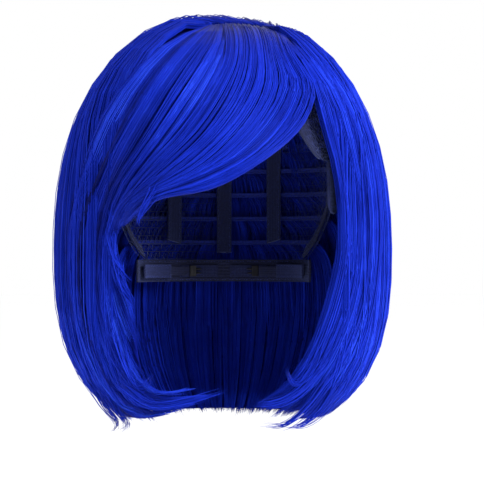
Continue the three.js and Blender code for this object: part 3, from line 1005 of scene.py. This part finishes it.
NET_THREAD = cloth_material("net_thread", (0.003, 0.005, 0.030), (0.008, 0.013, 0.075), 500)
ELASTIC = cloth_material("elastic_webbing", (0.003, 0.004, 0.018), (0.009, 0.012, 0.045), 700)
TAPE_CLOTH = cloth_material("tape_cloth", (0.004, 0.006, 0.030), (0.010, 0.015, 0.070), 900)
WEFT = cloth_material("weft_binding", (0.003, 0.008, 0.120), (0.008, 0.022, 0.280), 800)
STITCH = cloth_material("sewing_thread", (0.010, 0.016, 0.090), (0.022, 0.036, 0.190), 900)
SKIN_CLOTH = cloth_material("skin_cloth", (0.42, 0.30, 0.24), (0.62, 0.47, 0.40), 1500, 0.7, 0.1)
PLASTIC = cloth_material("black_plastic", (0.006, 0.006, 0.008), (0.014, 0.014, 0.018), 250, 0.35, 0.0)


# A weave: points along and across a strip, ribs across it, turns of the weave along it, the
# height of both, and what it is made of.
Weave = namedtuple("Weave", "steps ribs turns relief material slot_name", defaults=["elastic"])
FOREHEAD_WEAVE = Weave((260, 41), 8, 90, 0.22 * MM, ELASTIC)
SIDE_WEAVE = Weave((200, 25), 4, 70, 0.2 * MM, ELASTIC)
NAPE_WEAVE = Weave((240, 37), 7, 80, 0.2 * MM, ELASTIC)
STRAP_WEAVE = Weave((120, 25), 5, 45, 0.12 * MM, ELASTIC)
TAPE_WEAVE = Weave((220, 21), 5, 75, 0.12 * MM, TAPE_CLOTH)
CASING_WEAVE = Weave((80, 25), 5, 30, 0.1 * MM, TAPE_CLOTH)
LOOP_WEAVE = Weave((60, 21), 4, 20, 0.08 * MM, TAPE_CLOTH)
HOOK_GRAIN = Weave((24, 24), 1, 2, 0.06 * MM, PLASTIC, "hook_plastic")
WEFT_TURNS = Weave((560, 7), 1, 260, 0.22 * MM, WEFT, "weft_thread")
SKIN_WEAVE = Weave((90, 80), 26, 30, 0.07 * MM, SKIN_CLOTH, "skin_cloth")

# The relief rises from an edge over a twelfth of the strip.
EDGE_FADE = 12

# Shares across a strip between which the stitches of its two seams run.
SEAM_LINES = ((0.06, 0.16), (0.84, 0.94))
SEAM_THREAD = 0.5 * MM


def woven(name, place, layers, weave):
    """A strip of cloth with raised ribs along it and a weave across it, on both faces."""
    u = np.linspace(0, 1, weave.steps[0])[:, None]
    v = np.linspace(0, 1, weave.steps[1])[None, :]
    turns = 0.6 * np.cos(2 * math.pi * weave.turns * u) * np.sin(math.pi * v)
    edge = np.minimum(np.minimum(v, 1 - v) * EDGE_FADE, 1)
    raised = weave.relief * (np.cos(2 * math.pi * weave.ribs * v) + turns) * edge
    low, high = layers
    outer, inner = place(u, v, high + raised), place(u, v, low - raised)
    return sheet(name, outer, inner, weave.material, weave.slot_name)


def stitch_row(place, standoff, count, from_v, to_v, share=0.7, swell=0.35 * MM):
    """Short threads in a row: each from one edge line to another, raised in its middle."""
    start = (np.arange(count) + 0.1) / count
    t = np.linspace(0, 1, 4)[None, :]
    u = start[:, None] + share / count * t
    swing = np.where(np.arange(count)[:, None] % 2, 1 - t, t)
    v = lerp(from_v, to_v, swing)
    return place(u, v, standoff + swell * np.sin(math.pi * t))


def threads(name, paths, width, material, slot_name):
    count = len(paths)
    piece = tubes(name, paths, np.full(count, width), np.full(count, 0.5), sides=4)
    return finish_piece(piece, material, slot_name)


NET_ROWS = 36
NET_POINTS = 400
NET_WIDTH = 0.55 * MM
NET_ZIGZAGS = 118


def net():
    """Rows of fine zigzag thread between rings of thread, from the hem to the top of the cap."""
    paths = []
    azimuth = np.linspace(-math.pi, math.pi, NET_POINTS)
    hem_angle = np.arccos(hem(azimuth) / (HEAD[2] + NET))
    for row in range(NET_ROWS):
        count = int(NET_ZIGZAGS * math.sqrt(1 - (row / NET_ROWS) ** 3))
        zigzag = np.abs((np.linspace(0, 2 * count, NET_POINTS) % 2) - 1)
        for lift in (zigzag, 0):
            from_top = hem_angle * (1 - (row + lift) / NET_ROWS)
            paths.append(on_dome(azimuth, from_top, NET))
    piece = tubes("net", np.array(paths), np.full(len(paths), NET_WIDTH), np.full(len(paths), 0.5))
    finish_piece(piece, NET_THREAD, "net_cloth")
    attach(piece, "cap")
    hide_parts("cap_net")


def sewn_strip(node, body, place, layers, weave, stitches):
    """A strip that stands for a node of the frame, with a row of stitches along each edge."""
    strip = woven(f"{node}_cloth", place, layers, weave)
    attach(strip, body)
    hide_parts(node)
    rows = [stitch_row(place, layers[0] - weave.relief, stitches, *line) for line in SEAM_LINES]
    seam = threads(f"{node}_seam", np.concatenate(rows), SEAM_THREAD, STITCH, weave.slot_name)
    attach(seam, body)


def bands_and_tapes():
    sewn_strip("forehead_band", "cap", along_hem(*FOREHEAD_BAND), HEM_BAND, FOREHEAD_WEAVE, 70)
    for name, side in SIDES:
        start, end, width = SIDE_BAND
        place = along_hem(side * start, side * end, width)
        sewn_strip(f"side_band_{name}", "cap", place, HEM_BAND, SIDE_WEAVE, 60)
        sideways, start, end = SIDE_TAPE
        sewn_strip(f"{name}_tape", "cap", front_to_back(side * sideways, start, end), TAPE, TAPE_WEAVE, 80)
    sewn_strip("centre_tape", "cap", front_to_back(*CENTRE_TAPE), TAPE, TAPE_WEAVE, 80)
    sewn_strip("crown_tape", "cap", ear_to_ear, CROWN_TAPE, TAPE_WEAVE, 80)
    place, radii = on_nape(NAPE_BAND, 1)
    sewn_strip("nape_band", "cap", place, radii, NAPE_WEAVE, 60)


# The hook's plate and prongs, in shares of the hook's space: a prong goes out, bends and comes back.
PLATE_ALONG = (0.45, 1)
PLATE_ACROSS = (0.1, 0.9)
PRONGS = (0.35, 0.65)
PRONG_OUT = np.linspace(0.7, 0.08, 14)
PRONG_BACK = np.linspace(0.04, 0.5, 10)
PRONG_BEND = 1.2 * MM
PRONG_WIDTH = 1.1 * MM
LOOPS_ALONG = np.linspace(0.05, 0.95, 12)
LOOPS_ACROSS = np.linspace(0.1, 0.9, 10)
LOOP_THREAD = 0.25 * MM


def loop_tape(name, side):
    place, radii = on_nape(LOOP_TAPE, side)
    tape = woven(f"loop_tape_{name}", place, radii, LOOP_WEAVE)
    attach(tape, "cap")
    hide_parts(f"hook_loop_tape_{name}")
    loops = np.array([place(u, LOOPS_ACROSS, radii[0]) for u in LOOPS_ALONG])
    piece = threads(f"hook_loops_{name}", loops, LOOP_THREAD, TAPE_CLOTH, "elastic")
    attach(piece, "cap")


def hook(name, side, body):
    place, radii = on_nape(HOOK, side)

    def plate_place(u, v, radius):
        return place(lerp(*PLATE_ALONG, u), lerp(*PLATE_ACROSS, v), radius)

    plate = woven(f"hook_plate_{name}", plate_place, radii, HOOK_GRAIN)
    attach(plate, body)
    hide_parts(f"adjuster_hook_{name}")
    middle = (radii[0] + radii[1]) / 2
    radius = np.repeat([middle, middle - PRONG_BEND], [len(PRONG_OUT), len(PRONG_BACK)])
    prongs = np.array([place(np.concatenate([PRONG_OUT, PRONG_BACK]), v, radius) for v in PRONGS])
    hook = threads(f"hook_prongs_{name}", prongs, PRONG_WIDTH, PLASTIC, "hook_plastic")
    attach(hook, body)


def size_straps():
    for name, side in SIDES:
        body = f"{name}_adjuster"
        loop_tape(name, side)
        place, radii = on_nape(CASING, side)
        sewn_strip(f"strap_casing_{name}", "cap", place, radii, CASING_WEAVE, 20)
        place, radii = on_nape(STRAP, side)
        strap = woven(f"strap_{name}", place, radii, STRAP_WEAVE)
        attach(strap, body)
        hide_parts(f"adjuster_strap_{name}")
        hook(name, side, body)


def wefts():
    """Rows of sewn weft: a ridge of thread turns that binds the roots of the hair."""
    for i, level in enumerate(TRACK_LEVELS, start=1):
        piece = woven(f"weft_{i}", track_place(level), TRACK, WEFT_TURNS)
        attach(piece, "cap")
        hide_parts(f"weft_track_{i}")


# Weft hair grows on the lower wefts, this many strands to a radian, and falls no lower than this.
WEFT_ROWS = 6
WEFT_DENSITY = 110
WEFT_LOWEST = -140 * MM
WEFT_ABOVE_HEM = 6 * MM
WEFT_STANDOFF = 3 * MM

# A strand comes away from its weft by up to this share of its drop.
WEFT_SPREAD = 0.25
WEFT_WIDTH = (0.6 * MM, 1.1 * MM)
WEFT_TONE = 0.12

# Weft hair by sector: azimuths, a body name (pieces are attached to it only when it is the cap), and its
# insets after each drop, in mm.
WEFT_DROPS = (10, 30, 60)
WEFT_HAIR = (
    ("right", -108 * DEG, -66 * DEG, "right_hair", (16, 11, 9)),
    ("left", 66 * DEG, 108 * DEG, "left_hair", (16, 11, 9)),
    ("nape", 150 * DEG, 210 * DEG, "nape_hair", (16, 11, 9)),
    ("right_corner", -150 * DEG, -109 * DEG, "cap", (20, 17, 15.5)),
    ("left_corner", 109 * DEG, 150 * DEG, "cap", (20, 17, 15.5)),
)


def weft_paths(azimuth, level, insets):
    """Paths from one weft down to the inside of the hair."""
    root = on_head(azimuth, level, WEFT_STANDOFF)
    points = [root]
    for drop, inset in zip(WEFT_DROPS, insets):
        z = max(level - drop * MM, WEFT_LOWEST)
        reach = side_radius(azimuth, z) - inset * MM
        free = np.hypot(root[:, 0], root[:, 1]) + drop * WEFT_SPREAD * MM
        reach = np.minimum(reach, np.maximum(free, reach * (drop / WEFT_DROPS[-1])))
        points.append(joined(reach * np.sin(azimuth), -reach * np.cos(azimuth), z))
    return np.swapaxes(np.array(points), 0, 1)


def weft_hair():
    """The hair that leaves the wefts, seen from inside between the threads of the net."""
    for name, low, high, body, insets in WEFT_HAIR:
        paths = []
        for level in TRACK_LEVELS[:WEFT_ROWS]:
            azimuth = rng.uniform(low, high, int(WEFT_DENSITY * (high - low)))
            turn = np.where(azimuth > math.pi, 2 * math.pi - azimuth, azimuth)
            azimuth = azimuth[hem(turn) < level - WEFT_ABOVE_HEM]
            paths.append(weft_paths(azimuth, level, insets))
        paths = spline(np.concatenate(paths), np.linspace(0, 1, 9))
        count = len(paths)
        tint = np.clip(0.4 + rng.normal(0, WEFT_TONE, count), 0, 1)
        piece = tubes(f"weft_hair_{name}", paths, rng.uniform(*WEFT_WIDTH, count), tint)
        follow(finish_piece(piece, HAIR, "hair_fibre"), body)


def skin_top():
    piece = woven("skin_patch", skin_place, SKIN_TOP, SKIN_WEAVE)
    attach(piece, "cap")
    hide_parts("skin_top")


# A tongue's middle lies `outward` from the head; its cloth is `thick`, with a weave in relief.
Tongue = namedtuple("Tongue", "width length top outward thick relief material slot_name")
TAB = Tongue(24 * MM, 32 * MM, 11.5 * MM, 0, 1.6 * MM, 0.12 * MM, NET_THREAD, "net_cloth")
STAY = Tongue(4 * MM, 24 * MM, 8.5 * MM, 1.7 * MM, 0.7 * MM, 0.02 * MM, PLASTIC, "hook_plastic")
TONGUE_STEPS = (70, 45)
TONGUE_WEAVE = (110, 60)
BINDING_INSET = 0.6 * MM
BINDING_WIDTH = 1.8 * MM


def tongue(name, side, shape):
    """A cloth tongue with a rounded end, upright in front of the ear, and the line of its rim."""
    azimuth = side * TAB_AZIMUTH
    foot = on_head(azimuth, HEM_EAR, 0) * (1, 1, 0)
    tangent = unit(np.array([HEAD[0] * math.cos(azimuth), HEAD[1] * math.sin(azimuth), 0]))
    normal = np.array([tangent[1], -tangent[0], 0])
    down = np.linspace(0, 1, TONGUE_STEPS[0])[:, None]
    across = np.linspace(-1, 1, TONGUE_STEPS[1])[None, :]
    corner = shape.width / 2 - 1 * MM
    straight = shape.length - corner
    below = np.maximum(down * shape.length - straight, 0)
    half = shape.width / 2 - corner + np.sqrt(np.maximum(corner**2 - below**2, (0.01 * MM) ** 2))
    weave = shape.relief * (np.cos(across * TONGUE_WEAVE[1]) + np.cos(down * TONGUE_WEAVE[0]))
    edge = np.minimum(np.minimum(1 - np.abs(across), 1 - down) * EDGE_FADE, 1)

    def face(offset):
        flat = across * half
        flat = joined(flat * tangent[0], flat * tangent[1], shape.top - down * shape.length)
        return foot + flat + (shape.outward + offset)[..., None] * normal

    outer = face(shape.thick / 2 + weave * edge)
    inner = face(-shape.thick / 2 - weave * edge)
    piece = sheet(name, outer, inner, shape.material, shape.slot_name)
    turn = np.linspace(0, math.pi, 30)
    rim_side = np.concatenate([[-1], -np.cos(turn), [1]]) * (shape.width / 2 - BINDING_INSET)
    rim = foot + rim_side[:, None] * tangent + shape.outward * normal
    rim[:, 2] = shape.top
    rim[1:-1, 2] -= straight + corner * np.sin(turn) - BINDING_INSET
    return piece, rim


def ear_tabs():
    for name, side in SIDES:
        body = f"{name}_ear_tab"
        tab, rim = tongue(f"tab_{name}", side, TAB)
        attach(tab, body)
        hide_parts(f"ear_tab_{name}")
        binding = threads(f"tab_binding_{name}", rim[None], BINDING_WIDTH, ELASTIC, "elastic")
        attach(binding, body)
        stay, _ = tongue(f"stay_{name}", side, STAY)
        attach(stay, body)
        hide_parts(f"ear_stay_{name}")


# ---------- stage

FLOOR_LEVEL = -300 * MM
FLOOR_REACH = 12.0


def stage():
    mesh = bpy.data.meshes.new("floor")
    signs = ((-1, -1), (1, -1), (1, 1), (-1, 1))
    corners = [(x * FLOOR_REACH, y * FLOOR_REACH, FLOOR_LEVEL) for x, y in signs]
    mesh.from_pydata(corners, [], [(0, 1, 2, 3)])
    floor = add_object("floor", mesh)
    material, _, shader = new_material("pale_floor")
    shader.inputs["Base Color"].default_value = (1.0, 1.0, 1.0, 1)
    shader.inputs["Roughness"].default_value = 0.9
    mesh.materials.append(material)


# Lights: name, place, target, size in metres, power in watts.
LIGHTS = (
    ("key", (1.2, -1.2, 0.6), (0, 0, 0), 0.6, 50),
    ("fill", (-1.2, -1.0, 0.5), (0, 0, -0.02), 0.8, 4),
    ("top", (0.0, -0.3, 1.5), (0, 0, 0), 0.7, 2),
)


def lighting():
    """Plain studio light, and colours shown as they are."""
    world = bpy.data.worlds.new("studio")
    bpy.context.scene.world = world
    world.use_nodes = True
    background = world.node_tree.nodes["Background"]
    background.inputs["Color"].default_value = (1, 1, 1, 1)
    background.inputs["Strength"].default_value = 1.0
    for name, location, target, size, power in LIGHTS:
        data = bpy.data.lights.new(name, "AREA")
        data.size = size
        data.energy = power
        light = add_object(name, data)
        light.location = location
        light.rotation_euler = (Vector(target) - Vector(location)).to_track_quat("-Z", "Y").to_euler()
    bpy.context.scene.view_settings.view_transform = "Standard"
    bpy.context.scene.view_settings.look = "None"


fringe()
front_sides()
sides_and_back()
wisps()
under_hair()
net()
bands_and_tapes()
size_straps()
wefts()
weft_hair()
skin_top()
ear_tabs()
stage()
lighting()
